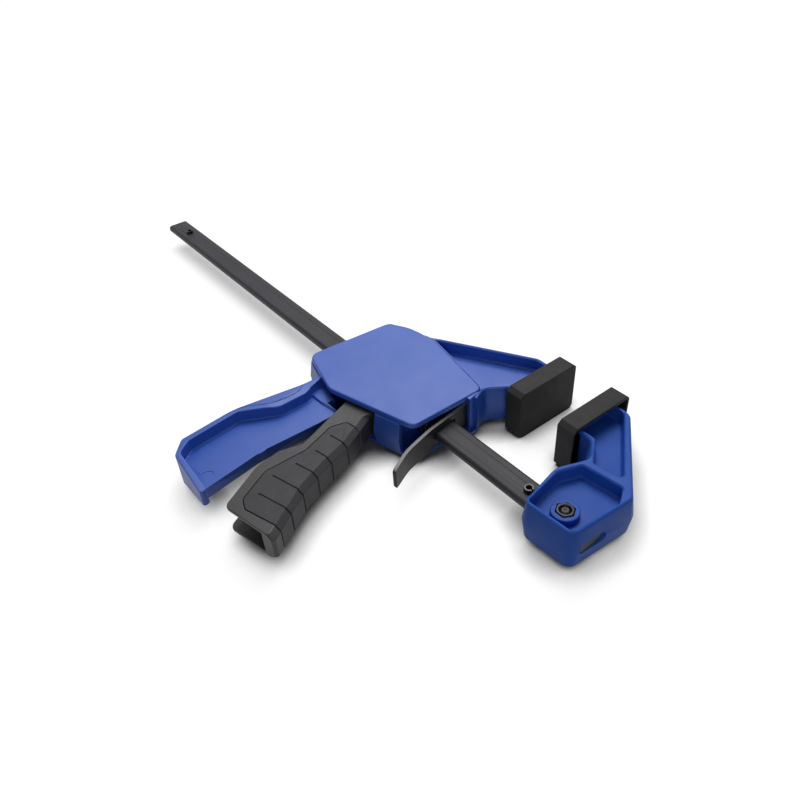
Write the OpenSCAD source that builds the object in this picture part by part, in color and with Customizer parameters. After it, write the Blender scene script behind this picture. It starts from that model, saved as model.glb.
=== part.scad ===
/* [Bar] */
// Overall length of the steel bar
bar_length = 532.4; // [420:0.2:700]
// Width of the bar in the direction of the throat
bar_width = 19; // [17:0.5:20]
// Thickness of the bar
bar_thick = 6.4; // [5.6:0.1:7]
// Length of the bar past the face of the fixed pad
bar_nose = 69; // [66:0.5:74]
// Outside diameter of the spring pins that stop the sliding jaw
stop_pin_d = 6; // [5:0.5:7]
// Wall of the rolled spring pins
stop_pin_wall = 1; // [0.8:0.1:1.4]
// Height of the stop pins above each flat of the bar
stop_pin_stand = 2.6; // [2:0.2:4]
// Distance of the tail pin from the free end of the bar
tail_pin_inset = 27.4; // [15:0.2:40]
// Distance of the head pin behind the back of the fixed pad
head_pin_inset = 6.3; // [5:0.1:7]

/* [Clamping] */
// Opening between the two pads
jaw_gap = 31.5; // [5:0.5:240]
// Distance from the centre line of the bar to the centre of the pads
jaw_reach = 71.75; // [68:0.25:90]
// Length of a pad in the direction of the throat
pad_length = 53.5; // [50:0.5:60]
// Depth of a pad in the direction of the bar
pad_thick = 14; // [12:0.5:18]
// Height of a pad, the widest size of the clamp when it lies flat
pad_height = 38.2; // [37:0.2:44]
// Thickness of the clamping wall of a pad
pad_face = 3; // [2:0.2:5]
// Thickness of the side walls of a pad
pad_wall = 2; // [1.6:0.1:2.4]
// Slope of the pad's edges next to the bar, in the direction of the throat
pad_slope = 3.6; // [3:0.2:7]

/* [Jaws] */
// Height over both rims of the jaws
rim_height = 30; // [27:0.5:32]
// Width of the rims around the pockets
rim = 2.8; // [2:0.1:3.6]
// Thickness of the web that is left between the pockets
web = 10.4; // [9.6:0.2:14]
// Width of the rib between the two pockets of the fixed jaw
rib = 6; // [4:0.5:8]
// Distance of the clamping bolt from the end of the bar
bolt_inset = 20.4; // [18:0.1:24]
// Thread size of the clamping bolt
bolt_d = 6; // [5:0.5:6.5]
// Width across the flats of the bolt head and the nut
hex_flats = 10; // [9:0.5:11]
// Height of the nut
nut_height = 4.8; // [4:0.2:6]
// Height of the bolt head
head_height = 4; // [3:0.2:5]
// Radius of the bosses around the bolt head and the nut
boss_r = 8.7; // [8:0.1:9.4]
// Depth of the hexagonal sockets in the bosses
socket_depth = 4.2; // [2.4:0.2:5]
// Clearance around the bolt head and the nut in their sockets
socket_gap = 0.6; // [0.3:0.1:0.8]
// Width by which the side walls swell towards the middle plane
draft = 1.9; // [0.5:0.1:2.4]
// Rounding of the rims around the pockets
lip = 0.9; // [0.5:0.1:1.2]
// Fillet between the floors and the walls of the pockets
fillet = 1.4; // [0.8:0.1:1.8]

/* [Housing] */
// Height of the housing over both plates
body_height = 31.8; // [30.8:0.2:36]
// Thickness of the two plates
plate = 3.9; // [3.5:0.1:4.4]
// Thickness of the walls between the plates
wall = 3; // [2.4:0.1:3.6]
// Width by which the walls stand out from under the cover plate
ledge = 0.8; // [0.4:0.1:1.2]
// Length of the housing along the bar
body_length = 110.5; // [108:0.5:130]
// Distance from the moving pad's face to the front edge of the housing
body_front = 26; // [25:0.5:30]
// Rounding of the outer edges of the moulded pieces
edge = 1.5; // [0.6:0.1:1.8]
// Diameter of the screws that hold the cover plate
screw_d = 3.5; // [3:0.5:4]
// Diameter of the screw heads
screw_head_d = 6.6; // [6:0.2:7]
// Radius of the columns that the screws run through
column_r = 4; // [3.8:0.1:4.4]

/* [Handle] */
// Length of the handle below the centre line of the bar
handle_length = 154; // [150:0.5:175]
// Height of the rear flange of the handle
flange_height = 26; // [24:0.5:30]
// Height of the end wall at its front corner
heel_height = 11; // [9:0.5:13]
// Thickness of the web of the handle
handle_web = 8; // [6:0.5:9]
// Thickness of the wall that closes the handle's end
end_wall = 5; // [4:0.5:7]

/* [Trigger] */
// Height of the trigger across its two side walls
trigger_height = 20.6; // [19.6:0.2:21.6]
// Thickness of the trigger's side walls
trigger_wall = 2.3; // [2:0.1:3]
// Thickness of the trigger's front wall
trigger_front = 7; // [5:0.5:8]
// Width of the slope along the front edges of the trigger
slope_width = 4.1; // [3:0.1:5]
// Depth of the slope along the front edges of the trigger
slope_depth = 3; // [2:0.1:4]
// Diameter of the pin that the trigger turns on
pivot_d = 5; // [4:0.5:6]
// Radius of the trigger's boss around its pin
pivot_boss = 8; // [7:0.2:8.6]
// Thickness of the soft grip panel
grip_thick = 1.2; // [0.9:0.1:1.6]
// Depth of the grooves in the grip panel
groove_depth = 0.7; // [0.4:0.1:0.8]
// Width of the grooves in the grip panel
groove_width = 1.2; // [0.8:0.1:2]
// Width of the open line around the grip panel
panel_gap = 0.4; // [0.2:0.1:0.6]

/* [Clutch] */
// Thickness of one drive plate
drive_thick = 2.5; // [2:0.1:3]
// Height of the drive plates across the bar's flats
drive_height = 22; // [21:0.5:23]
// Width of metal above and below the bar in a drive plate
drive_rim = 3; // [2.4:0.1:3.6]
// Thickness of the release lever
lever_thick = 2.5; // [2:0.1:3]
// Width of the release lever
lever_width = 17; // [14:0.5:19]
// Angle at which the release lever leans and locks the bar
lever_lean = 7; // [6:0.5:8]
// Wire diameter of both springs
wire_d = 1.2; // [0.9:0.1:1.3]
// Number of turns of the drive spring
drive_turns = 8; // [5:1:10]
// Number of turns of the brake spring
brake_turns = 3; // [2:1:5]

/* [Fits] */
// Clearance between parts that slide on each other
slide_gap = 0.3; // [0.25:0.05:0.4]
// Clearance around the pin that the trigger turns on
pin_gap = 0.06; // [0.02:0.01:0.09]
// Clearance around pieces that are fixed together
fixed_gap = 0.1; // [0.05:0.05:0.2]

/* [Hidden] */
$fn = 48;

// Steps of the arc that rounds one corner of an outline
arc_steps = 5;
// Overshoot of a cut past the face it opens
over = 1;
far = 400;

blue = "royalblue";
black = "dimgray";
steel = "silver";

// Bar
bar_tail = bar_nose - bar_length;
bar_half = bar_width / 2;
bar_edge = 0.4 * bar_thick;
slot_width = bar_width + 2 * slide_gap;
slot_thick = bar_thick + 2 * slide_gap;
head_pin_x = pad_thick + head_pin_inset;
bolt_x = bar_nose - bolt_inset;

// Pads and the noses of the jaws inside them
pad_low = jaw_reach - pad_length / 2;
pad_top = jaw_reach + pad_length / 2;
nose_low = pad_low + 6.5;
nose_top = pad_top - 9.9;
nose_wall = 2.6;
rim_half = rim_height / 2;
web_half = web / 2;

// Levels of the housing
body_half = body_height / 2;
bay_half = body_half - plate;
body_rear = -body_front - body_length;

// Mechanism, measured from the moving pad's face
pivot = [-63.5, 22];
cam = [-70.5, 0];
cam_r = 4;
drive_front_x = cam.x - cam_r - slide_gap;
drive_half = bar_half + slide_gap + drive_rim;
drive_rear_x = drive_front_x - 3 * drive_thick;
spring_seat_x = body_rear + 6;
bulkhead_x = -45.5;
bulkhead = 3;
lever_top = [-28.9, 21];
lever_tip = 3;
spring_r = bar_half + 0.6 + wire_d / 2;
trigger_half = trigger_height / 2;
channel_half = trigger_half - trigger_wall;
cheek_gap = bar_thick / 2 + 1.8;
boss_gap = bay_half - trigger_half - slide_gap;

// Corners of the fixed jaw: x, y and fillet, in the frame of the bar
jaw_end = bar_nose + 2.2;
jaw_front = pad_thick + 10.4;
fixed_corners = [
    [jaw_front + 7.2, -bar_half - 7.5, 5.5],
    [jaw_end - 3.8, -bar_half - 5.7, 6],
    [jaw_end - 0.2, bar_half + 21.9, 5],
    [pad_thick + 9, nose_top, 8],
    [pad_face, nose_top, 2],
    [pad_face, nose_low, 2],
    [jaw_front - 2.2, nose_low, 8],
    [jaw_front + 8.6, pad_low - 6.7, 7],
    [jaw_front, bar_half + 8, 14]
];
// Sides that stay straight inside the pad
fixed_straight = [false, false, false, true, true, true, false, false, false];
lower_pocket = [
    [jaw_front + 8.6, -bar_half - 7.5 + rim, 2],
    [jaw_end - 3.4 - rim, -bar_half - 5.7 + rim, 3],
    [jaw_end - rim, bar_half + 12.8, 4],
    [jaw_end - 9.6, bar_half + 24.2, 2.5],
    [jaw_front + 9.8, bar_half + 21, 2.5],
    [jaw_front + 0.9 + rim, bar_half + 6, 8]
];
upper_pocket = [
    [jaw_front + 12.8, bar_half + 21.4 + rib, 2],
    [jaw_end - 14.2, bar_half + 24.6 + rib, 2],
    [pad_thick + 5.6, nose_top - 0.8 * rim, 7],
    [pad_face + nose_wall, nose_top - 0.8 * rim, 2],
    [pad_face + nose_wall, nose_low + rim, 2],
    [jaw_front - 0.5, nose_low + rim, 5]
];

// Corners of the housing, from the moving pad's face
body_corners = [
    [body_rear - 2.6, -31.5, 8],
    [-97, -42.8, 12],
    [-body_front - 2.2, -24, 6],
    [-body_front - 0.8, 35.2, 6],
    [-96, 48.6, 14],
    [body_rear + 3.8, 37, 7]
];
arm_corners = [
    [-60, 20, 0],
    [-21.5, 20, 1],
    [-21.5, 24.5, 2],
    [-27, pad_low - 8.5, 8],
    [-pad_thick - 2.9, nose_low - 1.4, 3],
    [-pad_face, nose_low - 1.4, 2],
    [-pad_face, nose_top, 2],
    [-pad_thick - 12, nose_top, 8],
    [-92, 52.6, 14],
    [-108, 41.5, 0]
];
// Sides of the arm that stay straight inside the pad and where it joins the body
arm_straight = [false, false, false, false, true, true, true, false, false, true];

// Corners of the handle
handle_corners = [
    [-116.6, -36, 0],
    [-117.2, -52, 12],
    [-125.7, -103, 45],
    [-121.6, -handle_length + 11, 4],
    [-110.5, -handle_length + 1.2, 4],
    [-74.5, -handle_length, 2],
    [-76.5, -handle_length + end_wall, 1.5],
    [-78.7, -handle_length + end_wall, 1],
    [-84.3, -105, 40],
    [-83.3, -58, 20],
    [-83.3, -36, 0]
];
flange_corners = [
    [-113.5, -38, 0],
    [-107.3, -56, 4],
    [-107.3, -77, 10],
    [-120.8, -101.5, 8],
    [-116.6, -handle_length + 14, 4],
    [-110, -handle_length + end_wall, 3],
    [-74, -handle_length + end_wall, 0],
    [-74, -handle_length - over, 0],
    [-140, -handle_length - over, 0],
    [-140, -38, 0]
];

// Step on the web where it meets the body
step_half = 5.8;
step_corners = [
    [-112, -48.9, 0],
    [-100, -49.4, 30],
    [-84, -46.6, 0],
    [-84, -36, 0],
    [-112, -36, 0]
];

// Corners of the trigger: the rear edge down, then the front edge up
trigger_rear = [
    [pivot.x - pivot_boss, pivot.y + pivot_boss, pivot_boss - 0.1],
    [pivot.x - pivot_boss, cam.y + 8, 3],
    [cam.x - cam_r, cam.y + 3.4, 3.3],
    [cam.x - cam_r, cam.y - 3.4, 3.3],
    [-71, -8.6, 3],
    [-71.4, -14, 3],
    [-75.4, -20, 4],
    [-84, -37, 6],
    [-67, -84.5, 6],
    [-71.8, -99, 8],
    [-69, -117, 25],
    [-52, -148.8, 5]
];
trigger_fore = [
    [-11, -139.8, 2],
    [-33, -104, 0],
    [-41.5, -82, 0],
    [-47.5, -62, 0],
    [-61.8, -33, 0],
    [pivot.x + pivot_boss - 1.5, 0, 0],
    [pivot.x + pivot_boss, pivot.y + pivot_boss, pivot_boss - 0.1]
];
grip_corners = [
    [-65.8, -51, 2],
    [-68.8, -62, 4],
    [-61, -86, 15],
    [-61.6, -115.5, 8],
    [-50.2, -137.6, 4],
    [-42, -140.8, 3],
    [10, -124, 0],
    [10, -33, 0]
];
// Each groove: its start on the side, and its direction across the panel
grooves = [
    [[-61.5, -66.2], 10.8],
    [[-56.2, -81.4], 10.3],
    [[-54.6, -97.4], 15.8],
    [[-55.1, -113.8], 15.5],
    [[-47.5, -128.1], 16.5]
];

// Columns for the cover's screws, in the frame of the housing
columns = [[body_rear + 15, 30], [body_rear + 11, -26], [-36.5, 31], [-53.4, -23.4]];
screw_reach = plate - 1.4;
screw_head = 2.4;

// Path of the release lever below its seat: x, y and bend radius
lean = tan(lever_lean);
lever_path = [
    [lever_top.x - lever_tip * lean, lever_top.y + lever_tip, 0],
    [lever_top.x + 33 * lean, lever_top.y - 33, 60],
    [-18.9, -37.5, 45],
    [-11.2, -53, 0]
];

// Unit vector from one point to another
function toward(a, b) = (b - a) / norm(b - a);
function flat(p) = [p.x, p.y];
// Sign of the turn at a corner: positive to the left
function turn(a, b, c) = (b.x - a.x) * (c.y - b.y) - (b.y - a.y) * (c.x - b.x);

// Points of the arc of radius r that rounds corner b between a and c
function corner_arc(a, b, c, r) =
    let (u = toward(b, a), v = toward(b, c), half = acos(u * v) / 2)
    let (centre = b + (u + v) / norm(u + v) * r / sin(half))
    let (p = b + u * r / tan(half) - centre, q = b + v * r / tan(half) - centre)
    let (start = atan2(p.y, p.x), sweep = (atan2(q.y, q.x) - start + 540) % 360 - 180)
    [for (i = [0:arc_steps])
        centre + r * [cos(start + sweep * i / arc_steps), sin(start + sweep * i / arc_steps)]];

// Outline with every corner [x, y, r] rounded by its own radius
function outline(corners) =
    let (n = len(corners))
    [for (i = [0:n - 1])
        let (a = flat(corners[(i + n - 1) % n]), b = flat(corners[i]), c = flat(corners[(i + 1) % n]))
        each corners[i].z > 0 ? corner_arc(a, b, c, corners[i].z) : [b]];

// Corners after each edge moves inwards by its own distance, with the fillets following
function inset_edges(corners, depths) =
    let (n = len(corners))
    [for (i = [0:n - 1])
        let (a = flat(corners[(i + n - 1) % n]), b = flat(corners[i]), c = flat(corners[(i + 1) % n]))
        let (u = toward(a, b), v = toward(b, c), m = [-u.y, u.x], k = [-v.y, v.x], cosine = m * k)
        let (d = depths[(i + n - 1) % n], e = depths[i], r = corners[i].z, least = min(d, e))
        let (p = d == e
            ? b + d * (m + k) / (1 + cosine)
            : b + (m * (d - e * cosine) + k * (e - d * cosine)) / (1 - cosine * cosine))
        [p.x, p.y, r == 0 ? 0 : max(0.2, turn(a, b, c) > 0 ? r - least : r + least)]];

// Corners moved inwards by d from every edge
function inset(corners, d) = inset_edges(corners, [for (p = corners) d]);

// Rounded rectangle of two sides and a corner radius, centred
function rounded(w, h, r) =
    [[-w / 2, -h / 2, r], [w / 2, -h / 2, r], [w / 2, h / 2, r], [-w / 2, h / 2, r]];

// Open path with its bends rounded
function smooth(path) =
    [for (i = [0:len(path) - 1])
        each path[i].z > 0
            ? corner_arc(flat(path[i - 1]), flat(path[i]), flat(path[i + 1]), path[i].z)
            : [flat(path[i])]];

// Outline of a strip of thickness t along an open line of points
function strip(line, t) =
    let (n = len(line))
    let (side = [for (i = [0:n - 1])
        let (d = toward(line[max(i - 1, 0)], line[min(i + 1, n - 1)])) [-d.y, d.x] * t / 2])
    concat(
        [for (i = [0:n - 1]) line[i] + side[i]],
        [for (i = [n - 1:-1:0]) line[i] - side[i]]);

// Whether the corner at place k of a loop can be cut off: it is convex and nothing lies in it
function is_ear(points, loop, k) =
    let (n = len(loop), before = loop[(k + n - 1) % n], here = loop[k], after = loop[(k + 1) % n])
    let (a = points[before], b = points[here], c = points[after])
    turn(a, b, c) > 0 && len([for (i = loop)
        if (i != before && i != here && i != after && turn(a, b, points[i]) >= 0
            && turn(b, c, points[i]) >= 0 && turn(c, a, points[i]) >= 0) i]) == 0;

// First such corner from place k on, or the last one of the loop
function ear(points, loop, k) =
    k == len(loop) - 1 || is_ear(points, loop, k) ? k : ear(points, loop, k + 1);

// Triangles that fill a loop of points
function fill(points, loop) =
    let (n = len(loop), k = n > 3 ? ear(points, loop, 0) : 1)
    concat(
        [[loop[(k + n - 1) % n], loop[k], loop[(k + 1) % n]]],
        n > 3 ? fill(points, [for (i = [0:n - 1]) if (i != k) loop[i]]) : []);

// Everything drawn around the bar's centre line, moved to the part's frame
module on_bar() {
    translate([0, -jaw_reach, 0]) children();
}

// Everything that slides, drawn from the moving pad's face
module on_jaw() {
    translate([-jaw_gap, -jaw_reach, 0]) children();
}

// Straight prism of an outline between two levels
module prism(corners, low, high) {
    translate([0, 0, low]) linear_extrude(high - low) polygon(outline(corners));
}

// Prism of a section in the plane across the bar
module along_bar(corners, from, to) {
    translate([from, 0, 0]) rotate([90, 0, 90]) linear_extrude(to - from) polygon(outline(corners));
}

// Solid through rings of the same number of points at rising levels
module stack(rings, levels) {
    n = len(rings[0]);
    top = len(rings) - 1;
    loop = [for (i = [0:n - 1]) i];
    polyhedron(
        points = [for (k = [0:top]) for (p = rings[k]) [p.x, p.y, levels[k]]],
        faces = concat(
            fill(rings[0], loop),
            [for (t = fill(rings[top], loop)) [for (i = [2:-1:0]) top * n + t[i]]],
            [for (k = [0:top - 1]) for (i = [0:n - 1])
                [k * n + i, (k + 1) * n + i, (k + 1) * n + (i + 1) % n, k * n + (i + 1) % n]]));
}

// Moulded slab whose top edge is rounded
module moulded_top(corners, low, high, r) {
    stack(
        [outline(corners), outline(corners), outline(inset(corners, 0.29 * r)), outline(inset(corners, r))],
        [low, high - r, high - 0.29 * r, high]);
}

// Moulded slab about the middle plane with both outer edges rounded, and swelling by its side's depth
module moulded(corners, half, r, swell) {
    a = outline(corners);
    b = outline(inset(corners, 0.29 * r));
    c = outline(inset(corners, r));
    middle = outline(inset_edges(corners, [for (d = swell) -d]));
    stack(
        [c, b, a, middle, a, b, c],
        [-half, 0.29 * r - half, r - half, 0, half - r, half - 0.29 * r, half]);
}

// Depth of the draft on every side that isn't straight
function drafts(straight) = [for (s = straight) s ? 0 : draft];

// Moulded pocket with a fillet round its floor and a rounded lip
module pocket(corners, floor, top) {
    a = outline(corners);
    stack(
        [
            outline(inset(corners, fillet)),
            outline(inset(corners, 0.29 * fillet)),
            a,
            a,
            outline(inset(corners, -0.29 * lip)),
            outline(inset(corners, -lip)),
            outline(inset(corners, -lip))
        ],
        [floor, floor + 0.29 * fillet, floor + fillet, top - lip, top - 0.29 * lip, top, top + over]);
}

// The same cut on the upper and the lower side
module both_sides() {
    children();
    mirror([0, 0, 1]) children();
}

// Hexagonal prism by its width across the flats
module hexagon(flats, low, high) {
    translate([0, 0, low]) cylinder(h = high - low, r = flats / sqrt(3), $fn = 6);
}

// Round disc or hole between two levels
module disc(r, low, high) {
    translate([0, 0, low]) cylinder(h = high - low, r = r);
}

// Rolled spring pin with its slit, across the bar
module roll_pin() {
    half = bar_thick / 2 + stop_pin_stand;
    outer = stop_pin_d / 2;
    difference() {
        disc(outer, -half, half);
        disc(outer - stop_pin_wall, -half - over, half + over);
        translate([0, -stop_pin_wall / 2, -half - over])
            cube([stop_pin_d, stop_pin_wall, 2 * half + 2 * over]);
    }
}

// Cup-shaped pad with its clamping face at x = 0 and its opening at +x
module pad_cup(low, high) {
    half = pad_height / 2;
    tip = 0.6 * pad_slope;
    section = [
        [pad_low, half - 0.8 * pad_slope, 0.6],
        [pad_low, -half + 0.8 * pad_slope, 0.6],
        [pad_low + pad_slope, -half, 0.6],
        [pad_top - tip, -half, 0.6],
        [pad_top, -half + tip, 0.6],
        [pad_top, half - tip, 0.6],
        [pad_top - tip, half, 0.6],
        [pad_low + pad_slope, half, 0.6]
    ];
    rib_wide = 1.6;
    difference() {
        along_bar(section, 0, pad_thick);
        along_bar(inset(section, pad_wall), pad_face, pad_thick + over);
    }
    // Ribs that grip the jaw's nose on four sides
    depth = pad_thick - pad_face - 1;
    both_sides() for (y = [low + 8, (low + high) / 2, high - 8])
        translate([pad_face, y - rib_wide / 2, rim_half])
            cube([depth, rib_wide, half - pad_wall - rim_half]);
    both_sides() translate([pad_face, 0, rim_half / 2 - rib_wide / 2]) {
        translate([0, pad_low + pad_wall, 0]) cube([depth / 3, low - pad_low - pad_wall, rib_wide]);
        translate([0, high, 0]) cube([depth, pad_top - pad_wall - high, rib_wide]);
    }
}

// Helical spring along the bar, from one x to another
module coil(from, to, turns) {
    sides = 8;
    steps = 16 * turns;
    r = wire_d / 2;
    run = to - from - wire_d;
    ring = [for (k = [0:steps]) for (j = [0:sides - 1])
        let (a = 360 * turns * k / steps, b = 360 * j / sides)
        [from + r + run * k / steps + r * sin(b),
            (spring_r + r * cos(b)) * cos(a), (spring_r + r * cos(b)) * sin(a)]];
    polyhedron(
        points = ring,
        faces = concat(
            [[for (j = [sides - 1:-1:0]) j]],
            [[for (j = [0:sides - 1]) steps * sides + j]],
            [for (k = [0:steps - 1]) for (j = [0:sides - 1])
                [k * sides + j, k * sides + (j + 1) % sides,
                    (k + 1) * sides + (j + 1) % sides, (k + 1) * sides + j]]));
}

module bar() {
    color(black) on_bar() difference() {
        along_bar(rounded(bar_width, bar_thick, bar_edge), bar_tail, bar_nose);
        for (x = [bar_tail + tail_pin_inset, head_pin_x])
            translate([x, 0, 0]) disc(stop_pin_d / 2, -bar_thick, bar_thick);
        translate([bolt_x, 0, 0]) disc(bolt_d / 2 + fixed_gap, -bar_thick, bar_thick);
    }
}

module tail_stop_pin() {
    color(steel) on_bar() translate([bar_tail + tail_pin_inset, 0, 0]) roll_pin();
}

module head_stop_pin() {
    color(steel) on_bar() translate([head_pin_x, 0, 0]) roll_pin();
}

module fixed_jaw() {
    boss_top = web_half + socket_depth;
    mouth = 0.5;
    color(blue) on_bar() difference() {
        union() {
            difference() {
                moulded(fixed_corners, rim_half, edge, drafts(fixed_straight));
                both_sides() pocket(lower_pocket, web_half, rim_half);
                both_sides() pocket(upper_pocket, web_half, rim_half);
            }
            translate([bolt_x, 0, 0]) disc(boss_r, -boss_top, boss_top);
        }
        along_bar(rounded(bar_width + 2 * fixed_gap, bar_thick + 2 * fixed_gap, bar_edge), 0, far);
        along_bar(rounded(bar_width + 3 * mouth, bar_thick + 2 * mouth, bar_thick / 2), bar_nose, far);
        translate([bolt_x, 0, 0]) {
            disc(bolt_d / 2 + fixed_gap, -rim_half, rim_half);
            both_sides() hexagon(hex_flats + 2 * socket_gap, web_half, rim_half);
        }
    }
}

module fixed_jaw_bolt() {
    tip = web_half + nut_height - 0.3;
    color(steel) on_bar() translate([bolt_x, 0, 0]) {
        disc(bolt_d / 2, -web_half, tip);
        intersection() {
            hexagon(hex_flats, -web_half - head_height, -web_half);
            translate([0, 0, -web_half - head_height])
                cylinder(h = head_height, r1 = hex_flats / 2, r2 = hex_flats / 2 + 1.7 * head_height);
        }
    }
}

module fixed_jaw_nut() {
    color(steel) on_bar() translate([bolt_x, 0, 0]) difference() {
        intersection() {
            hexagon(hex_flats, web_half, web_half + nut_height);
            translate([0, 0, web_half])
                cylinder(h = nut_height, r2 = hex_flats / 2, r1 = hex_flats / 2 + 1.7 * nut_height);
        }
        disc(bolt_d / 2, 0, far);
    }
}

module fixed_jaw_pad() {
    color(black) on_bar() pad_cup(nose_low, nose_top);
}

module moving_jaw_pad() {
    color(black) on_jaw() mirror([1, 0, 0]) pad_cup(nose_low - 1.4, nose_top);
}

// Space for the trigger, the drive plates and their spring
module mechanism_bay() {
    intersection() {
        prism(inset(body_corners, wall - ledge), -bay_half, body_half);
        translate([spring_seat_x, -far / 2, -far / 2])
            cube([bulkhead_x - bulkhead - spring_seat_x, far, far]);
    }
}

// Space for the brake spring and the release lever, open to the front and below
module lever_bay() {
    seat = lever_top.y + lever_tip + lever_thick / 2 + slide_gap;
    gap = lever_thick / 2 + 0.1 + slide_gap;
    corners = [
        [bulkhead_x, -27.8 + wall, 1],
        [-39, -27.8 + wall, 1],
        [-37.5, -31, 2],
        [-34, -far / 4, 0],
        [far / 4, -far / 4, 0],
        [far / 4, seat, 0],
        [lever_top.x + gap + 3, seat, 0],
        [lever_top.x + gap + 3, lever_top.y + 0.4, 0.5],
        [lever_top.x + gap, lever_top.y + 0.4, 0.5],
        [lever_top.x + gap, seat, 0],
        [lever_top.x - gap - 0.6, seat, 0],
        [lever_top.x - gap - 0.6, lever_top.y - 2, 0.5],
        [bulkhead_x, lever_top.y - 2, 1]
    ];
    prism(corners, -bay_half, body_half);
}

// Slot in the lower walls that the trigger swings through, wider above and below the handle's web
module trigger_slot() {
    wide = [
        [-110.2, -50, 0],
        [-90, -50, 0],
        [-90, -20, 0],
        [-114, -20, 0],
        [-114, -38, 0]
    ];
    corners = [
        [-95.4, -46.5, 0],
        [-83.5, -46.5, 0],
        [-83.5, -60, 0],
        [-58.4, -60, 0],
        [-58.4, -27.8 + wall, 0],
        [-60.2, -20, 0],
        [-95.4, -20, 0]
    ];
    prism(corners, -bay_half, bay_half + over);
    prism(wide, step_half, bay_half + over);
    prism(wide, -bay_half, -step_half);
}

module screw_holes(low, high) {
    for (p = columns) translate([p.x, p.y, 0]) disc(screw_d / 2, low, high);
}

// Rear flange, web and end wall of the handle
module handle() {
    half = flange_height / 2;
    difference() {
        union() {
            difference() {
                moulded(handle_corners, half, edge, [for (p = handle_corners) 0]);
                both_sides() difference() {
                    prism(handle_corners_wide(), handle_web / 2, far);
                    prism(flange_corners, 0, far);
                }
            }
            both_sides() prism(step_corners, 0, step_half);
        }
        both_sides() rotate([90, 0, 0]) translate([0, 0, 36 + over])
            linear_extrude(handle_length) polygon([
                [-113, half], [-72, heel_height / 2], [-72, half + over], [-113, half + over]]);
    }
}

// Block that covers the inside of the handle
function handle_corners_wide() = [[-140, -handle_length - 5, 0], [-60, -handle_length - 5, 0],
    [-60, -36, 0], [-140, -36, 0]];

// Arm that carries the moving pad, with a pocket on both sides
module arm() {
    last = len(arm_corners) - 1;
    wide = inset_edges(arm_corners, [for (i = [0:last]) i == 5 ? nose_wall : rim]);
    inner = [for (i = [0:last]) if (i != 1 && i != 2) wide[i]];
    difference() {
        moulded(arm_corners, rim_half, edge, drafts(arm_straight));
        both_sides() difference() {
            pocket(inner, web_half, rim_half);
            prism(inset(body_corners, -ledge), 0, far);
        }
    }
}

module housing() {
    head = body_half - screw_head;
    color(blue) on_jaw() {
        difference() {
            union() {
                moulded_walls();
                arm();
                handle();
            }
            mechanism_bay();
            lever_bay();
            trigger_slot();
            prism(inset(body_corners, -fixed_gap), bay_half, far);
            along_bar(rounded(slot_width, slot_thick, bar_edge), -far, far);
            translate([pivot.x, pivot.y, 0]) disc(pivot_d / 2, -bay_half - screw_reach, 0);
            screw_holes(-far, far);
            for (p = columns) translate([p.x, p.y, 0]) disc(screw_head_d / 2, -far, -head);
        }
        difference() {
            for (p = columns) translate([p.x, p.y, 0]) disc(column_r, -bay_half, bay_half);
            screw_holes(-far, far);
        }
        translate([pivot.x, pivot.y, 0]) difference() {
            disc(pivot_boss - 1, -bay_half, -bay_half + boss_gap);
            disc(pivot_d / 2, -far, far);
        }
    }
}

// Lower plate with the walls that stand on it
module moulded_walls() {
    rings = [for (d = [edge, 0.29 * edge, 0, -draft, 0]) outline(inset(body_corners, d - ledge))];
    stack(rings, [-body_half, 0.29 * edge - body_half, edge - body_half, 0, bay_half]);
}

module cover_plate() {
    color(blue) on_jaw() difference() {
        union() {
            moulded_top(body_corners, bay_half, body_half, 1.5);
            translate([pivot.x, pivot.y, 0]) disc(pivot_boss - 1, bay_half - boss_gap, bay_half + over);
        }
        translate([pivot.x, pivot.y, 0]) disc(pivot_d / 2, 0, bay_half + screw_reach);
        screw_holes(0, bay_half + screw_reach);
    }
}

module cover_screws() {
    low = -body_half + 0.2;
    color(steel) on_jaw() for (p = columns) translate([p.x, p.y, 0]) difference() {
        union() {
            disc(screw_head_d / 2 - fixed_gap, low, -body_half + screw_head);
            disc(screw_d / 2, low, bay_half + screw_reach);
        }
        for (a = [0, 90]) rotate([0, 0, a]) translate([0, 0, low])
            cube([0.55 * screw_head_d, 0.8, screw_head], center = true);
    }
}

// Solid with the trigger's sloped front between two corners, d inside its sides and its front
module sloped_form(corners, first, last, d) {
    at = [for (i = [0:len(corners) - 1]) i >= first && i < last];
    wide = outline(inset_edges(corners, [for (front = at) front ? d : 0]));
    narrow = outline(inset_edges(corners, [for (front = at) front ? d + slope_width : 0]));
    half = trigger_half - d;
    stack([narrow, wide, wide, narrow], [-half, slope_depth - half, half - slope_depth, half]);
}

module trigger_form() {
    first = len(trigger_rear);
    sloped_form(concat(trigger_rear, trigger_fore), first, first + 4, 0);
}

// Core under the grip panel, longer than the trigger and open to the rear
module trigger_core(d) {
    foot = trigger_fore[0] + 0.3 * (trigger_fore[0] - trigger_fore[1]);
    root = trigger_fore[4];
    corners = [
        [-100, -20, 0],
        [-100, foot.y, 0],
        [foot.x, foot.y, 0],
        trigger_fore[1],
        trigger_fore[2],
        trigger_fore[3],
        [root.x, root.y, 0],
        [root.x, -20, 0]
    ];
    sloped_form(corners, 2, 6, d);
}

// Region of the grip panel on the trigger's outside, its edge moved in by a gap
module grip_region(gap) {
    difference() {
        prism(inset(grip_corners, gap), -far / 2, far / 2);
        trigger_core(grip_thick);
    }
}

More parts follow.
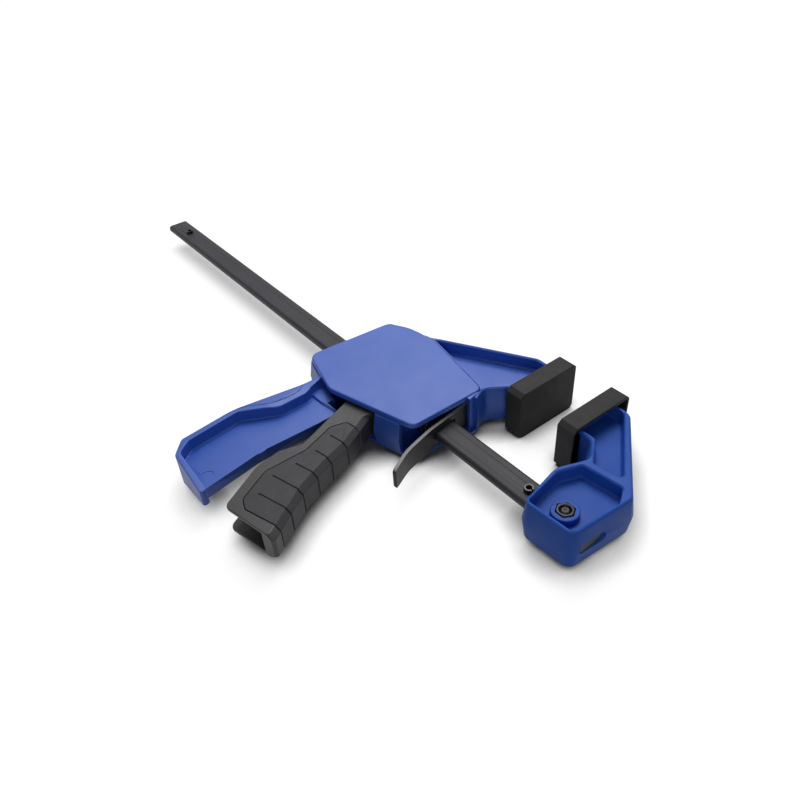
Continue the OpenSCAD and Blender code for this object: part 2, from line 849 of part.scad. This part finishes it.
module trigger() {
    first = len(trigger_rear);
    inner = inset(concat(trigger_rear, trigger_fore), trigger_front);
    channel = concat(
        [for (i = [first:first + 4]) [inner[i].x, inner[i].y, 0]],
        [[inner[first + 4].x, -26, 0], [-100, -26, 0], [-100, -170, 0], [inner[first].x + 4, -170, 0]]);
    color(black) on_jaw() difference() {
        difference() {
            trigger_form();
            grip_region(0);
        }
        prism(channel, -channel_half, channel_half);
        translate([-110, -14.5, -cheek_gap]) cube([80, pivot.y - pivot_boss + 14, 2 * cheek_gap]);
        translate([pivot.x, pivot.y, 0]) disc(pivot_d / 2 + pin_gap, -trigger_height, trigger_height);
    }
}

module groove_cuts() {
    reach = trigger_half + over;
    difference() {
        for (g = grooves) translate([g[0].x, g[0].y, 0]) rotate([0, 0, g[1]])
            translate([0, -groove_width / 2, -reach]) cube([50, groove_width, 2 * reach]);
        trigger_core(groove_depth);
    }
}

module trigger_grip() {
    color("darkslategray") on_jaw() difference() {
        intersection() {
            trigger_form();
            grip_region(panel_gap);
        }
        groove_cuts();
    }
}

module trigger_pivot_pin() {
    reach = bay_half + screw_reach;
    color(steel) on_jaw() translate([pivot.x, pivot.y, 0]) disc(pivot_d / 2, -reach, reach);
}

// Drive plate with its window around the bar
module drive_plate(x) {
    color(steel) on_jaw() difference() {
        along_bar(rounded(2 * drive_half, drive_height, 1.5), x - drive_thick, x);
        along_bar(rounded(slot_width, slot_thick, 0.4), x - far, x + far);
    }
}

module drive_plate_front() {
    drive_plate(drive_front_x);
}

module drive_plate_middle() {
    drive_plate(drive_front_x - drive_thick);
}

module drive_plate_rear() {
    drive_plate(drive_front_x - 2 * drive_thick);
}

module drive_spring() {
    color(steel) on_jaw() coil(spring_seat_x, drive_rear_x - slide_gap, drive_turns);
}

module release_lever() {
    window = bar_half + slide_gap + 0.4;
    half = lever_width / 2;
    tip = lever_path[3].y - lever_thick / 2;
    top = lever_path[0].y + lever_thick;
    face = [
        [tip, 1 - half, 3],
        [-30, -half, 0],
        [top, -half, 0],
        [top, half, 0],
        [-30, half, 0],
        [tip, half - 1, 3]
    ];
    color(steel) on_jaw() difference() {
        intersection() {
            union() {
                translate([0, 0, -half - over]) linear_extrude(lever_width + 2 * over)
                    polygon(strip(smooth(lever_path), lever_thick));
                for (end = [lever_path[0], lever_path[3]])
                    translate([end.x, end.y, 0]) disc(lever_thick / 2, -half - over, half + over);
            }
            along_bar(face, -far / 4, far / 4);
        }
        translate([-far, -window, -slot_thick / 2]) cube([2 * far, 2 * window, slot_thick]);
    }
}

module brake_spring() {
    reach = lever_top.x + (lever_top.y - spring_r - wire_d / 2) * lean - lever_thick / 2 / cos(lever_lean);
    color(steel) on_jaw() coil(bulkhead_x, reach - slide_gap, brake_turns);
}

bar();
tail_stop_pin();
head_stop_pin();
fixed_jaw();
fixed_jaw_bolt();
fixed_jaw_nut();
fixed_jaw_pad();
housing();
cover_plate();
cover_screws();
moving_jaw_pad();
trigger();
trigger_grip();
trigger_pivot_pin();
drive_plate_front();
drive_plate_middle();
drive_plate_rear();
drive_spring();
release_lever();
brake_spring();
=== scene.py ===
"""Looks of the quick release bar clamp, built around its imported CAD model."""
import math

import bmesh
import bpy
from mathutils import Matrix, Vector
from mathutils.bvhtree import BVHTree


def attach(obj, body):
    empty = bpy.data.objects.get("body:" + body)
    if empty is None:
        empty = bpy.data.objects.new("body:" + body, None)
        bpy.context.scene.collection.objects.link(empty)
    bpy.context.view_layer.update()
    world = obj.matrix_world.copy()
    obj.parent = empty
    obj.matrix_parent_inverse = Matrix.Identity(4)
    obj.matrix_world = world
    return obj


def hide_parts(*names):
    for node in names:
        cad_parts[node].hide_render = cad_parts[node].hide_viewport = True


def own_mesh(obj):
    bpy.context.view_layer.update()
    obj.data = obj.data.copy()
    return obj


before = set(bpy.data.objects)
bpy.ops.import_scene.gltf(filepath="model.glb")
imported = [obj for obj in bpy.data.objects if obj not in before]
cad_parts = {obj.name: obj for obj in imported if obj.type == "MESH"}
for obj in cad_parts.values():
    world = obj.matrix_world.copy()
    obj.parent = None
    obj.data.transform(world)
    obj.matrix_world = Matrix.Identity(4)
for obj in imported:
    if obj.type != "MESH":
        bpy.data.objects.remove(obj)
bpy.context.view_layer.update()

# Lengths are in metres, or in mm where a comment or docstring says so
MM = 0.001

# ---------------------------------------------------------------- camera
# Fitted to the photograph, with the bar taken as 19 mm wide
FOCAL_PX = 758.92
IMAGE_PX = 800
SENSOR_MM = 36
CAMERA_AT = (0.231246, -0.314186, 0.339481)
CAMERA_RIGHT = (0.6183525, 0.7841466, -0.0524819)
CAMERA_DOWN = (0.4766831, -0.4273134, -0.7682295)
CAMERA_FORWARD = (-0.6248307, 0.4500193, -0.6380197)


def add_camera():
    data = bpy.data.cameras.new("camera")
    data.sensor_width = SENSOR_MM
    data.lens = SENSOR_MM * FOCAL_PX / IMAGE_PX
    camera = bpy.data.objects.new("camera", data)
    columns = [Vector(CAMERA_RIGHT), -Vector(CAMERA_DOWN), -Vector(CAMERA_FORWARD)]
    rotation = Matrix([[c[row] for c in columns] for row in range(3)])
    camera.matrix_world = Matrix.Translation(CAMERA_AT) @ rotation.to_4x4()
    bpy.context.scene.collection.objects.link(camera)
    bpy.context.scene.camera = camera


# ---------------------------------------------------------------- materials
class Nodes:
    """A material's node tree, with short calls for its nodes and links."""

    def __init__(self, name):
        self.material = bpy.data.materials.new(name)
        self.material.use_nodes = True
        self.tree = self.material.node_tree
        self.shader = self.tree.nodes["Principled BSDF"]
        coordinates = self.add("ShaderNodeTexCoord")
        self.place = coordinates.outputs["Object"]
        self.normal = coordinates.outputs["Normal"]

    def add(self, kind, **values):
        node = self.tree.nodes.new(kind)
        for key, value in values.items():
            setattr(node, key, value)
        return node

    def link(self, source, target):
        self.tree.links.new(source, target)

    def noise(self, scale, detail=2.0, roughness=0.5):
        node = self.add("ShaderNodeTexNoise")
        node.inputs["Scale"].default_value = scale
        node.inputs["Detail"].default_value = detail
        node.inputs["Roughness"].default_value = roughness
        self.link(self.place, node.inputs["Vector"])
        return node.outputs["Fac"]

    def spread(self, value, low, high, to_low=0.0, to_high=1.0):
        """Maps the range from low to high onto another one, clamped at its ends."""
        node = self.add("ShaderNodeMapRange")
        for key, number in (("From Min", low), ("From Max", high),
                            ("To Min", to_low), ("To Max", to_high)):
            node.inputs[key].default_value = number
        self.link(value, node.inputs["Value"])
        return node.outputs["Result"]

    def mix(self, factor, a, b):
        node = self.add("ShaderNodeMix", data_type="RGBA")
        self.link(factor, node.inputs["Factor"])
        for socket, colour in ((node.inputs["A"], a), (node.inputs["B"], b)):
            if isinstance(colour, tuple):
                socket.default_value = (*colour, 1)
            else:
                self.link(colour, socket)
        return node.outputs["Result"]

    def bump(self, height, distance, strength, under=None):
        node = self.add("ShaderNodeBump")
        node.inputs["Strength"].default_value = strength
        node.inputs["Distance"].default_value = distance
        self.link(height, node.inputs["Height"])
        if under is not None:
            self.link(under, node.inputs["Normal"])
        return node.outputs["Normal"]

    def upward(self, low, high):
        """1 on faces that look straight up or down, 0 on upright ones."""
        part = self.add("ShaderNodeSeparateXYZ")
        self.link(self.normal, part.inputs[0])
        size = self.add("ShaderNodeMath", operation="ABSOLUTE")
        self.link(part.outputs["Z"], size.inputs[0])
        return self.spread(size.outputs[0], low, high)

    def set(self, **values):
        for key, value in values.items():
            socket = self.shader.inputs[key.replace("_", " ").title().replace("Ior", "IOR")]
            if isinstance(value, bpy.types.NodeSocket):
                self.link(value, socket)
            else:
                socket.default_value = (*value, 1) if isinstance(value, tuple) else value
        return self.material


# The middle part of a noise, which is stretched over the whole range
NOISE_CORE = (0.35, 0.65)
NOISE_MOST = (0.3, 0.7)

# Noise scales per metre, and heights of the bumps
DRIFT_SCALE = 22.0
WAVE_SCALE = 60.0
WAVE_HEIGHT = 0.00012
MOTTLE_SCALE = 110.0
PIT_SCALE = 1900.0
PIT_HEIGHT = 0.00006
BLOTCH_SCALE = 30.0
SPECK_SCALE = 1500.0
STREAK_DETAIL = 4.0
STREAK_HEIGHT = 0.000012
ROLLED_SCALE = 900.0
ROLLED_HEIGHT = 0.00003
GRAIN_STRENGTH = 0.6
WAVE_STRENGTH = 0.35
STEEL_STRENGTH = 0.4

# How far the roughness drifts each way
MOULDING_DRIFT = 0.05
RUBBER_DRIFT = 0.03
STEEL_DRIFT_DOWN = 0.06
STEEL_DRIFT_UP = 0.08

SPECK_SHARE = 0.5
BLOTCH_SHARE = 0.5
# Where the lighter colour of up and down faces begins and is full: partly bare cut metal, partly a
# painted highlight
CUT_EDGE_AND_HIGHLIGHT_FROM = 0.80
CUT_EDGE_AND_HIGHLIGHT_FULL = 0.93
ALONG_BAR = (6.0, 1100.0, 1100.0)
ALL_WAYS = (200.0, 200.0, 200.0)


def moulding(name, dark, light, rough, grain, grain_scale, shine=0.5):
    """Moulded plastic: slow colour drift, fine spark-eroded grain and slightly uneven gloss."""
    n = Nodes(name)
    drift = n.spread(n.noise(DRIFT_SCALE, detail=3.0), *NOISE_CORE)
    fine = n.noise(grain_scale, roughness=0.6)
    wave = n.noise(WAVE_SCALE)
    colour = n.mix(drift, dark, light)
    gloss = n.spread(wave, *NOISE_MOST, rough - MOULDING_DRIFT, rough + MOULDING_DRIFT)
    normal = n.bump(fine, grain, GRAIN_STRENGTH)
    normal = n.bump(wave, WAVE_HEIGHT, WAVE_STRENGTH, normal)
    return n.set(base_color=colour, roughness=gloss, specular_ior_level=shine, normal=normal)


def rubber(name, dark, light, rough, shine):
    """Soft moulded rubber: faintly mottled dull surface with fine pits."""
    n = Nodes(name)
    mottle = n.spread(n.noise(MOTTLE_SCALE, detail=4.0, roughness=0.6), *NOISE_MOST)
    pits = n.noise(PIT_SCALE, roughness=0.6)
    colour = n.mix(mottle, dark, light)
    gloss = n.spread(mottle, 0.0, 1.0, rough + RUBBER_DRIFT, rough - RUBBER_DRIFT)
    return n.set(base_color=colour, roughness=gloss, specular_ior_level=shine,
                 normal=n.bump(pits, PIT_HEIGHT, GRAIN_STRENGTH))


def steel(name, dark, light, rough, metallic, shine=0.5, streak=ALONG_BAR, cut_edge_and_highlight=None):
    """Finished steel: fine streaks under blotches and specks. A lighter colour, where
    there is one, goes on the faces that look straight up or down: partly bare cut metal, partly a
    painted highlight."""
    n = Nodes(name)
    stretch = n.add("ShaderNodeMapping")
    stretch.inputs["Scale"].default_value = streak
    n.link(n.place, stretch.inputs["Vector"])
    lines = n.add("ShaderNodeTexNoise")
    lines.inputs["Scale"].default_value = 1.0
    lines.inputs["Detail"].default_value = STREAK_DETAIL
    n.link(stretch.outputs["Vector"], lines.inputs["Vector"])
    blotch = n.noise(BLOTCH_SCALE, detail=3.0)
    speck = n.spread(n.noise(SPECK_SCALE, roughness=0.7), *NOISE_CORE)
    both = n.add("ShaderNodeMath", operation="MULTIPLY_ADD")
    n.link(speck, both.inputs[0])
    both.inputs[1].default_value = SPECK_SHARE
    n.link(n.spread(blotch, *NOISE_CORE, 0.0, BLOTCH_SHARE), both.inputs[2])
    colour = n.mix(both.outputs[0], dark, light)
    if cut_edge_and_highlight is not None:
        colour = n.mix(n.upward(CUT_EDGE_AND_HIGHLIGHT_FROM, CUT_EDGE_AND_HIGHLIGHT_FULL), colour, cut_edge_and_highlight)
    gloss = n.spread(lines.outputs["Fac"], *NOISE_MOST,
                     rough - STEEL_DRIFT_DOWN, rough + STEEL_DRIFT_UP)
    normal = n.bump(lines.outputs["Fac"], STREAK_HEIGHT, STEEL_STRENGTH)
    normal = n.bump(n.noise(ROLLED_SCALE), ROLLED_HEIGHT, STEEL_STRENGTH, normal)
    return n.set(base_color=colour, roughness=gloss, metallic=metallic,
                 specular_ior_level=shine, normal=normal)


BLUE = moulding("blue_moulding", (0.018, 0.082, 0.42), (0.024, 0.092, 0.45),
                rough=0.45, grain=0.00004, grain_scale=2400.0)
# Painted shade: a darker, less shiny copy of the blue moulding for the fixed jaw, where less light falls
SHADED_BLUE = moulding("shaded_blue_moulding", (0.015, 0.076, 0.38), (0.019, 0.084, 0.41),
                     rough=0.50, grain=0.00004, grain_scale=2400.0, shine=0.18)
BLACK = moulding("black_moulding", (0.016, 0.016, 0.017), (0.021, 0.021, 0.022),
                 rough=0.48, grain=0.00005, grain_scale=2200.0, shine=0.4)
GRIP = rubber("soft_grip", (0.012, 0.012, 0.015), (0.015, 0.015, 0.018), rough=0.56, shine=0.34)
PAD = rubber("black_pad", (0.018, 0.018, 0.019), (0.023, 0.023, 0.024), rough=0.62, shine=0.17)
DARK_STEEL = steel("dark_steel", (0.010, 0.010, 0.014), (0.022, 0.022, 0.029),
                   rough=0.48, metallic=0.0, shine=0.25)
BRIGHT_STEEL = steel("bright_steel", (0.020, 0.020, 0.022), (0.036, 0.036, 0.040),
                     rough=0.40, metallic=0.95, streak=ALL_WAYS)
PIN_STEEL = steel("pin_steel", (0.03, 0.03, 0.03), (0.06, 0.06, 0.06),
                  rough=0.36, metallic=0.95, streak=ALL_WAYS)
# The lever's top and bottom faces are lighter: partly bare cut steel, partly a painted highlight
LEVER_STEEL = steel("lever_steel", (0.009, 0.009, 0.010), (0.016, 0.016, 0.017),
                    rough=0.45, metallic=0.0, shine=0.25, cut_edge_and_highlight=(0.22, 0.22, 0.225))


# ---------------------------------------------------------------- pieces
MERGE_REACH = 2e-6
SEAL_REACH = 1e-7
NO_LENGTH = 1e-18
FLAT_ANGLE = math.radians(0.4)
ROUNDED_ANGLE = math.radians(28.0)
ROUNDING_SEGMENTS = 3
ROUNDING_TRIES = 8
PROUD_LIMIT = 0.00010
DEEP_SHARE = 0.6
STRAY_REACH = 2.5
SMOOTH_ANGLE = 32.0
COIL_SMOOTH_ANGLE = 50.0
NORMAL_WEIGHT = 80


def cleaned(node):
    """Editable copy of a node's mesh with its flat faces whole again."""
    b = bmesh.new()
    b.from_mesh(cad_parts[node].data)
    whole(b)
    return b


def tidied(o):
    """Makes its flat faces whole again after a cut or join."""
    b = bmesh.new()
    b.from_mesh(o.data)
    whole(b)
    b.to_mesh(o.data)
    b.free()


def whole(b):
    bmesh.ops.remove_doubles(b, verts=b.verts, dist=MERGE_REACH)
    bmesh.ops.dissolve_limit(b, angle_limit=FLAT_ANGLE, verts=b.verts, edges=b.edges)


def piece(name, b, body, material):
    """New piece of the scene from an editable mesh, which it frees."""
    mesh = bpy.data.meshes.new(name)
    b.normal_update()
    b.to_mesh(mesh)
    b.free()
    o = bpy.data.objects.new(name, mesh)
    bpy.context.scene.collection.objects.link(o)
    mesh.materials.append(material)
    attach(o, body)
    return o


def softened(o, width):
    """Rounds the sharp edges. Where a point of the rounding leaves the piece's own surface,
    as in a corner too tight for it, the edges within STRAY_REACH widths of it stay sharp."""
    b = bmesh.new()
    b.from_mesh(o.data)
    surface = BVHTree.FromBMesh(b)
    weights = [0.0 if e.is_boundary or e.calc_face_angle(0.0) < ROUNDED_ANGLE else 1.0
               for e in b.edges]
    ends = [(e.verts[0].co.copy(), e.verts[1].co.copy()) for e in b.edges]
    b.free()
    o.data.attributes.new("bevel_weight_edge", "FLOAT", "EDGE")
    bevel = o.modifiers.new("edges", "BEVEL")
    bevel.width = width
    bevel.segments = ROUNDING_SEGMENTS
    bevel.limit_method = "WEIGHT"
    bevel.use_clamp_overlap = False
    bevel.miter_outer = "MITER_ARC"
    for _ in range(ROUNDING_TRIES):
        layer = o.data.attributes["bevel_weight_edge"]
        layer.data.foreach_set("value", weights)
        o.data.update()
        strays = stray_points(o, surface, width)
        if not strays:
            break
        for i, weight in enumerate(weights):
            if weight and any(near_line(p, *ends[i]) < STRAY_REACH * width for p in strays):
                weights[i] = 0.0
    apply_modifiers(o)
    return o


def stray_points(o, surface, width):
    """Points of the rounded piece that stand proud of its sharp shape, or sink too deep."""
    mesh = bpy.data.meshes.new_from_object(
        o.evaluated_get(bpy.context.evaluated_depsgraph_get()))
    strays = []
    for v in mesh.vertices:
        place, normal, _, distance = surface.find_nearest(v.co)
        proud = (v.co - place).dot(normal) > 0
        if distance > (PROUD_LIMIT if proud else DEEP_SHARE * width):
            strays.append(v.co.copy())
    bpy.data.meshes.remove(mesh)
    return strays


def near_line(p, a, b):
    """Distance of a point from a straight edge."""
    along = b - a
    t = max(0.0, min(1.0, (p - a).dot(along) / max(along.length_squared, NO_LENGTH)))
    return (p - a - along * t).length


def shaded(o, smooth=SMOOTH_ANGLE):
    """Smooth shading between its sharp edges."""
    for polygon in o.data.polygons:
        polygon.use_smooth = True
    o.data.set_sharp_from_angle(angle=math.radians(smooth))
    weighted = o.modifiers.new("normals", "WEIGHTED_NORMAL")
    weighted.keep_sharp = True
    weighted.weight = NORMAL_WEIGHT
    return o


def apply_modifiers(o):
    mesh = bpy.data.meshes.new_from_object(
        o.evaluated_get(bpy.context.evaluated_depsgraph_get()))
    o.modifiers.clear()
    old = o.data
    o.data = mesh
    bpy.data.meshes.remove(old)


def merged(o, tool, operation="DIFFERENCE"):
    """Cuts a tool out of a piece, or joins it on."""
    mesh = bpy.data.meshes.new("tool")
    tool.to_mesh(mesh)
    tool.free()
    cutter = bpy.data.objects.new("tool", mesh)
    bpy.context.scene.collection.objects.link(cutter)
    change = o.modifiers.new("tool", "BOOLEAN")
    change.operation = operation
    change.solver = "EXACT"
    change.object = cutter
    apply_modifiers(o)
    bpy.data.objects.remove(cutter)
    bpy.data.meshes.remove(mesh)


def refined(node, body, material, slot, width):
    """Stands for a CAD node: its shape and any added form, then rounded edges and fine marks."""
    o = piece(node + "_body", cleaned(node), body, material)
    for step in FORMS.get(node, ()):
        step(o)
        tidied(o)
    softened(o, width)
    for step in MARKS.get(node, ()):
        step(o)
    shaded(o)
    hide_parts(node)


# ---------------------------------------------------------------- tools, in mm
TURNED_SIDES = 48
ARC_STEPS = 14


def lofted(rings):
    """Closed solid through outlines of as many points, one above the other."""
    b = bmesh.new()
    loops = [[b.verts.new((x * MM, y * MM, z * MM)) for x, y in outline] for outline, z in rings]
    b.faces.new(list(reversed(loops[0])))
    b.faces.new(loops[-1])
    for low, high in zip(loops, loops[1:]):
        for i in range(len(low)):
            j = (i + 1) % len(low)
            b.faces.new((low[i], low[j], high[j], high[i]))
    bmesh.ops.recalc_face_normals(b, faces=b.faces)
    return b


def upright(outline, low, high):
    """Closed upright solid over an outline."""
    return lofted([(outline, low), (outline, high)])


def turned(profile, x, y, sides=TURNED_SIDES):
    """Closed solid turned about an upright axis from radii and heights."""
    b = bmesh.new()
    rings = []
    for k in range(sides):
        a = 2 * math.pi * k / sides
        rings.append([b.verts.new(((x + r * math.cos(a)) * MM, (y + r * math.sin(a)) * MM, z * MM))
                      for r, z in profile])
    for k in range(sides):
        for i in range(len(profile)):
            j = (i + 1) % len(profile)
            m = (k + 1) % sides
            b.faces.new((rings[k][i], rings[m][i], rings[m][j], rings[k][j]))
    bmesh.ops.remove_doubles(b, verts=b.verts, dist=SEAL_REACH)
    bmesh.ops.recalc_face_normals(b, faces=b.faces)
    return b


def line_strip(path, width):
    """Outline of a line of some width along an open path."""
    points = [Vector(p) for p in path]
    left, right = [], []
    for i, p in enumerate(points):
        along = (points[min(i + 1, len(points) - 1)] - points[max(i - 1, 0)]).normalized()
        side = Vector((-along.y, along.x)) * width / 2
        left.append(tuple(p + side))
        right.append(tuple(p - side))
    return left + right[::-1]


def arc(x, y, radius, start, end):
    turn = [math.radians(start + (end - start) * i / ARC_STEPS) for i in range(ARC_STEPS + 1)]
    return [(x + radius * math.cos(a), y + radius * math.sin(a)) for a in turn]


# ---------------------------------------------------------------- forms and marks, in mm
# The photographed plate's far corner bulges a little past its straight edges.
# Its outline moves inward by some distance at each height.
BULGE = [(-161.0, -34.0), (-156.0, -31.0), (-151.0, -28.6), (-146.5, -27.0), (-141.0, -26.0),
         (-134.0, -25.2)]
BULGE_INSIDE = [(-136.0, -36.0), (-154.0, -40.0)]
BULGE_INWARD = (0.42, -0.91)
BULGE_STEPS = [(0.0, 10.6), (0.0, 14.4), (0.44, 15.46), (1.45, 15.9)]

# Marks of the mould on the handle and the arm
SEAM = [(-156.2, -173.3), (-151.6, -163.3), (-146.7, -154.9), (-143.9, -148.1), (-142.7, -140.1),
        (-143.0, -132.6), (-144.0, -127.9), (-147.2, -124.6)]
SEAM_WIDTH = 0.7
SEAM_HEIGHTS = (12.4, 13.4)
EJECTOR_ARC = (-119.6, -214.6, 4.3, 40, 215)
EJECTOR_WIDTH = 0.45
EJECTOR_HEIGHTS = (3.6, 4.4)
GATE_AT = (-64.4, 1.9)
GATE_PROFILE = [(0.0, 5.4), (0.6, 5.3), (0.8, 4.8), (1.7, 5.3), (1.7, 5.9), (0.0, 5.9)]
GATE_SIDES = 24


def plate_bulge(o):
    def shrunk(d):
        across, along = BULGE_INWARD
        return [(x + across * d, y + along * d) for x, y in BULGE] + BULGE_INSIDE
    merged(o, lofted([(shrunk(d), height) for d, height in BULGE_STEPS]), "UNION")


def handle_seam(o):
    merged(o, upright(line_strip(SEAM, SEAM_WIDTH), *SEAM_HEIGHTS))


def ejector_mark(o):
    merged(o, upright(line_strip(arc(*EJECTOR_ARC), EJECTOR_WIDTH), *EJECTOR_HEIGHTS))


def gate_mark(o):
    merged(o, turned(GATE_PROFILE, *GATE_AT, GATE_SIDES))


FORMS = {"cover_plate": [plate_bulge]}
MARKS = {"housing": [handle_seam, ejector_mark, gate_mark]}

# Node, body, material, slot and width of the rounding
PIECES = [
    # The fixed jaw wears the darker copy of the blue: painted shade
    ("fixed_jaw", "bar_assembly", SHADED_BLUE, "blue_moulding", 0.0009),
    ("housing", "sliding_jaw", BLUE, "blue_moulding", 0.0007),
    ("cover_plate", "sliding_jaw", BLUE, "blue_moulding", 0.0003),
    ("trigger", "trigger_unit", BLACK, "black_moulding", 0.0006),
    ("trigger_grip", "trigger_unit", GRIP, "soft_grip", 0.00035),
    ("fixed_jaw_pad", "bar_assembly", PAD, "black_pad", 0.0006),
    ("moving_jaw_pad", "sliding_jaw", PAD, "black_pad", 0.0006),
    ("release_lever", "release", LEVER_STEEL, "dark_steel", 0.0002),
    ("bar", "bar_assembly", DARK_STEEL, "dark_steel", 0.0004),
]
for row in PIECES:
    refined(*row)

# The nut's countersink and the bolt's bevelled, dimpled end: node, width of the
# rounding and the profiles cut out, as radii and heights in mm
BOLT_AT = (48.6, -71.75)
NUT_TOP = 10.0
FASTENERS = [
    ("fixed_jaw_nut", 0.00015, [
        [(2.6, 8.4), (3.1, 8.4), (4.0, NUT_TOP + 0.1), (2.6, NUT_TOP + 0.1)],
    ]),
    ("fixed_jaw_bolt", 0.0001, [
        [(2.1, NUT_TOP), (2.1, 9.7), (3.3, 8.6), (3.3, NUT_TOP)],
        [(0.0, 9.2), (0.9, 9.3), (1.1, NUT_TOP), (0.0, NUT_TOP)],
    ]),
]
for node, width, profiles in FASTENERS:
    fastener = piece(node + "_body", cleaned(node), "bar_assembly", BRIGHT_STEEL)
    for profile in profiles:
        merged(fastener, turned(profile, *BOLT_AT))
    shaded(softened(fastener, width))
    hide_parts(node)

# CAD nodes that are shown as they are
SHOWN_NODES = {
    "tail_stop_pin": PIN_STEEL,
    "head_stop_pin": PIN_STEEL,
    "cover_screws": BRIGHT_STEEL,
    "trigger_pivot_pin": BRIGHT_STEEL,
    "drive_plate_front": BRIGHT_STEEL,
    "drive_plate_middle": BRIGHT_STEEL,
    "drive_plate_rear": BRIGHT_STEEL,
}
for node, material in SHOWN_NODES.items():
    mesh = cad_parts[node].data
    mesh.materials.clear()
    mesh.materials.append(material)

# The springs get smooth-shaded copies of their meshes. The table gives node, joint,
# fixed end along x and the share of the length kept; only the node is read here
SPRINGS = [
    ("drive_spring", "drive_stroke", -0.162, 0.918),
    ("brake_spring", "lever_release", -0.077, 0.70),
]
for node, joint, fixed_end, kept in SPRINGS:
    spring = shaded(piece(node + "_body", cleaned(node), "sliding_jaw", BRIGHT_STEEL), COIL_SMOOTH_ANGLE)
    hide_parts(node)
    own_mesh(spring)


# ---------------------------------------------------------------- stage and light
# The floor lies just under the pads, the lowest points of the object
PAD_HALF = 0.0191
FLOOR_Z = -PAD_HALF - 0.0003
FLOOR_SIZE = 12
FLOOR_BOUNCE = (0.34, 0.34, 0.34)
FLOOR_SEEN = (0.22, 0.22, 0.22)
FLOOR_LIFT = 0.88
# Painted contact shadow: the lift sinks from full to none as the object closes in within CONTACT_REACH,
# which leaves CONTACT_CLEAR and then CONTACT_DARK of the half space over the floor open
CONTACT_REACH = 0.022
CONTACT_DARK = 0.38
CONTACT_CLEAR = 0.90
CONTACT_SAMPLES = 16
# Between these distances from the origin it rises to white
FLOOR_NEAR = 0.40
FLOOR_FAR = 0.75

# Name, power in watts, side, place and aim
BODY_AT = (-0.11, -0.065, 0.0)
SOFTBOXES = [
    ("key", 6.4, 0.55, (-0.36, 0.25, 0.78), BODY_AT),
    ("sheen", 0.5, 0.5, (-0.78, 0.36, 0.60), BODY_AT),
    ("fill", 0.5, 0.3, (0.42, -0.42, 0.24), (0.05, -0.07, 0.0)),
]
WORLD_STRENGTH = 0.15
WHITE = 1.0


def add_floor():
    b = bmesh.new()
    bmesh.ops.create_grid(b, x_segments=1, y_segments=1, size=FLOOR_SIZE)
    mesh = bpy.data.meshes.new("floor")
    b.to_mesh(mesh)
    b.free()
    floor = bpy.data.objects.new("floor", mesh)
    floor.location = (0, 0, FLOOR_Z)
    bpy.context.scene.collection.objects.link(floor)
    mesh.materials.append(floor_material())


def floor_material():
    """Matt pale floor that the camera and gloss see near white. It keeps the object's shadow from the
    lamps, and a painted contact shadow makes it darkest where the object all but touches it."""
    n = Nodes("floor")
    path = n.add("ShaderNodeLightPath")
    seen = n.add("ShaderNodeMath", operation="MAXIMUM")
    n.link(path.outputs["Is Camera Ray"], seen.inputs[0])
    n.link(path.outputs["Is Glossy Ray"], seen.inputs[1])
    matt = n.add("ShaderNodeBsdfDiffuse")
    n.link(n.mix(seen.outputs[0], FLOOR_BOUNCE, FLOOR_SEEN), matt.inputs["Color"])
    # Painted contact shadow: the lift fades where ambient occlusion finds the object close
    contact = n.add("ShaderNodeAmbientOcclusion", samples=CONTACT_SAMPLES)
    contact.inputs["Distance"].default_value = CONTACT_REACH
    near = n.spread(contact.outputs["AO"], CONTACT_DARK, CONTACT_CLEAR, 0.0, FLOOR_LIFT)
    away = n.add("ShaderNodeVectorMath", operation="LENGTH")
    n.link(n.place, away.inputs[0])
    white = n.spread(away.outputs["Value"], FLOOR_NEAR, FLOOR_FAR, 0.0, WHITE - FLOOR_LIFT)
    total = n.add("ShaderNodeMath", operation="ADD")
    n.link(near, total.inputs[0])
    n.link(white, total.inputs[1])
    lifted = n.add("ShaderNodeMath", operation="MULTIPLY")
    n.link(seen.outputs[0], lifted.inputs[0])
    n.link(total.outputs[0], lifted.inputs[1])
    lift = n.add("ShaderNodeEmission")
    n.link(lifted.outputs[0], lift.inputs["Strength"])
    both = n.add("ShaderNodeAddShader")
    n.link(matt.outputs["BSDF"], both.inputs[0])
    n.link(lift.outputs["Emission"], both.inputs[1])
    n.link(both.outputs["Shader"], n.tree.nodes["Material Output"].inputs["Surface"])
    return n.material


def add_softbox(name, power, size, at, target):
    data = bpy.data.lights.new(name, "AREA")
    data.energy = power
    data.size = size
    lamp = bpy.data.objects.new(name, data)
    lamp.location = at
    lamp.rotation_euler = (Vector(target) - Vector(at)).to_track_quat("-Z", "Y").to_euler()
    bpy.context.scene.collection.objects.link(lamp)


def add_world(strength):
    """Even light of some strength, which the camera and gloss see as white."""
    world = bpy.data.worlds.new("world")
    bpy.context.scene.world = world
    world.use_nodes = True
    tree = world.node_tree
    background = tree.nodes["Background"]
    background.inputs["Color"].default_value = (1, 1, 1, 1)
    path = tree.nodes.new("ShaderNodeLightPath")
    seen = tree.nodes.new("ShaderNodeMath")
    seen.operation = "MAXIMUM"
    tree.links.new(path.outputs["Is Camera Ray"], seen.inputs[0])
    tree.links.new(path.outputs["Is Glossy Ray"], seen.inputs[1])
    level = tree.nodes.new("ShaderNodeMapRange")
    level.inputs["To Min"].default_value = strength
    level.inputs["To Max"].default_value = WHITE
    tree.links.new(seen.outputs[0], level.inputs["Value"])
    tree.links.new(level.outputs["Result"], background.inputs["Strength"])


add_camera()
add_floor()
for softbox in SOFTBOXES:
    add_softbox(*softbox)
add_world(WORLD_STRENGTH)
bpy.context.scene.view_settings.view_transform = "Standard"
